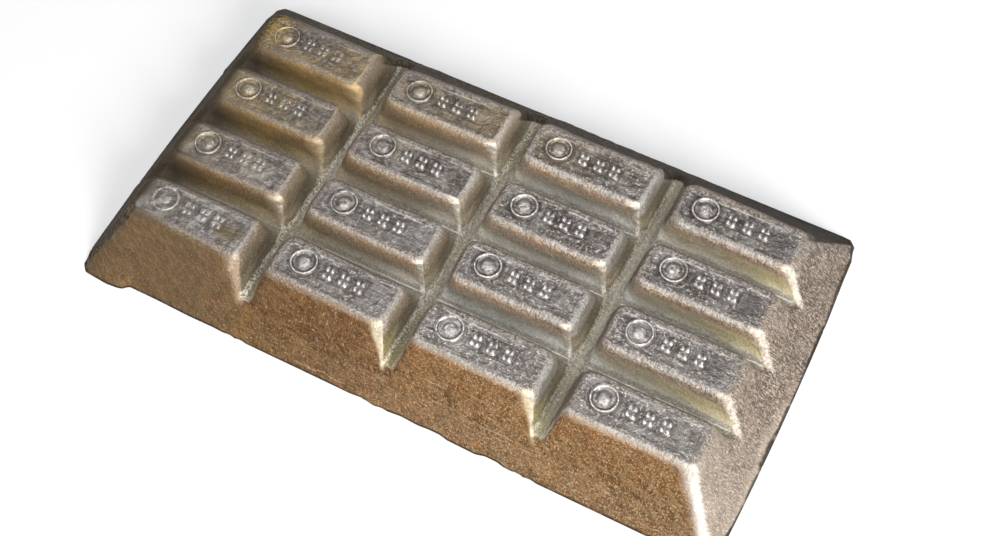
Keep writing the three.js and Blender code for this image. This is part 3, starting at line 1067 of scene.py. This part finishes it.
def makeCastAlloy():
    material = bpy.data.materials.new("castAlloy")
    material.use_nodes = True
    tree = material.node_tree
    tree.nodes.clear()
    at = readSkin(tree)
    panel, panelTone, flecks, marks = panelFinish(at)
    outer, end, dark, outerTone, flash = outerFinish(at)
    rim, rimTone = rimWearAndSheen(at)
    ridge, ridgeTone = ridgeHighlightFinish(at)
    leftRim = (at.mottle.shift(3 * mm) - at.x).ramp(124.5 * mm, 128.8 * mm) * at.y.ramp(-60 * mm, -50 * mm)
    gilt = (fromSpot(at, "gilt") + at.blotch.shift(20 * mm)).fall(4 * mm, 11 * mm)
    tone = paint(grooveFinish(at), [
        (outer, outerTone),
        (panel, panelTone),
        # painted highlight on the pads' front and right edges, partly wear
        (rim * 0.9, rimTone),
        # painted highlight on the pads' front right corners
        (ridge * 0.9, ridgeTone),
        (leftRim * 0.8, "leftShade"),
        (gilt * (at.fleck * 0.6 + at.mottle * 0.4).ramp(0.47, 0.56, 0, 0.45), "gold"),
    ])

    groove = (1 - outer) * (1 - panel) * (1 - rim) * (1 - ridge)
    hollow = groove * at.depth.band(9.5 * mm, 13.2 * mm, 1 * mm)  # nothing bright to mirror so low down
    metal = 0.92 - groove * 0.55 - end * 0.3 - dark * 0.5 - hollow * 0.37
    rough = 0.63 + at.mottle.shift(0.3) - at.grit * 0.25 + ridge * at.golden * 0.06
    rough = rough + outer * 0.06 + dark * 0.4 + groove * 0.14 - (flecks * 0.12 + marks * 0.06) * panel
    calm = (1 - marks * panel * 0.7) * (1 - ridge * 0.6) * at.grit
    height = at.mottle.shift(1) * (0.4 + panel * 0.6) + at.speck.shift(0.35)
    height = height + at.fleck.shift(1) * (0.4 + outer * 0.7 - end * 0.4 + panel * 0.2)
    height = height * calm + at.blotch.shift(0.7) + at.fleck.shift(0.3) * groove
    height = height + at.stroke.shift(0.5) * (outer + rim) + flash * 0.3
    relief = at.x.make("ShaderNodeBump", {}, {"Strength": 1, "Distance": mm, "Height": height})
    shader = at.x.make("ShaderNodeBsdfPrincipled", {}, {
        "Base Color": tone, "Metallic": metal, "Roughness": rough, "Normal": relief})
    at.x.make("ShaderNodeOutputMaterial", {}, {"Surface": shader}, out=None)
    print("castAlloy:", len(tree.nodes), "nodes")
    return material


# The pale ground that the block lies on
ground = {"size": 8, "colour": (0.8, 0.8, 0.8, 1), "roughness": 0.9}


def makeFloor():
    bpy.ops.mesh.primitive_plane_add(size=ground["size"], location=(0, 0, 0))
    floor = bpy.context.active_object
    floor.name = "floor"
    material = bpy.data.materials.new("paleFloor")
    material.use_nodes = True
    shader = material.node_tree.nodes["Principled BSDF"]
    shader.inputs["Base Color"].default_value = ground["colour"]
    shader.inputs["Roughness"].default_value = ground["roughness"]
    floor.data.materials.append(material)
    print("floor: laid")


# Each lamp's place, size, power and colour
lamps = {
    "window": ((1.25, -0.95, 0.85), 0.7, 27, (1, 0.97, 0.93)),
    "front": ((-0.4, -1.4, 1.2), 0.8, 7.5, (1, 0.95, 0.88)),
    "ceiling": ((0.1, 0.1, 1.7), 1.0, 18, (0.97, 0.98, 1)),
}
room = {"colour": (0.95, 0.97, 1, 1), "strength": 0.32}


def makeLamps():
    for name, (place, size, power, colour) in lamps.items():
        light = bpy.data.lights.new(name, "AREA")
        light.size = size
        light.energy = power
        light.color = colour
        lamp = bpy.data.objects.new(name, light)
        bpy.context.scene.collection.objects.link(lamp)
        lamp.location = place
        lamp.rotation_euler = (-Vector(place)).to_track_quat("-Z", "Y").to_euler()
    world = bpy.data.worlds.new("studio")
    world.use_nodes = True
    background = world.node_tree.nodes["Background"]
    background.inputs["Color"].default_value = room["colour"]
    background.inputs["Strength"].default_value = room["strength"]
    bpy.context.scene.world = world
    bpy.context.scene.view_settings.view_transform = "Standard"
    print("lamps:", len(lamps))


# Place in metres, turn in degrees, lens and sensor in millimetres
view = {
    "place": (0.1812, -0.29393, 0.57045),
    "turn": (30.5628, 1.0834, 27.6235),
    "lens": 55.0325,
    "sensor": 36,
    "nearest": 0.01,
}


def makeCamera():
    data = bpy.data.cameras.new("camera")
    data.lens = view["lens"]
    data.sensor_width = view["sensor"]
    data.clip_start = view["nearest"]
    camera = bpy.data.objects.new("camera", data)
    bpy.context.scene.collection.objects.link(camera)
    camera.location = view["place"]
    camera.rotation_euler = Euler([math.radians(angle) for angle in view["turn"]], "XYZ")
    bpy.context.scene.camera = camera
    print("camera: placed")


makeCamera()
makeLamps()
makeFloor()
pieces = [makeCastBlock(), *makePadMarks()]
alloy = makeCastAlloy()
for piece in pieces:
    piece.data.materials.clear()
    piece.data.materials.append(alloy)
    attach(piece, "root")
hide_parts("ingot")
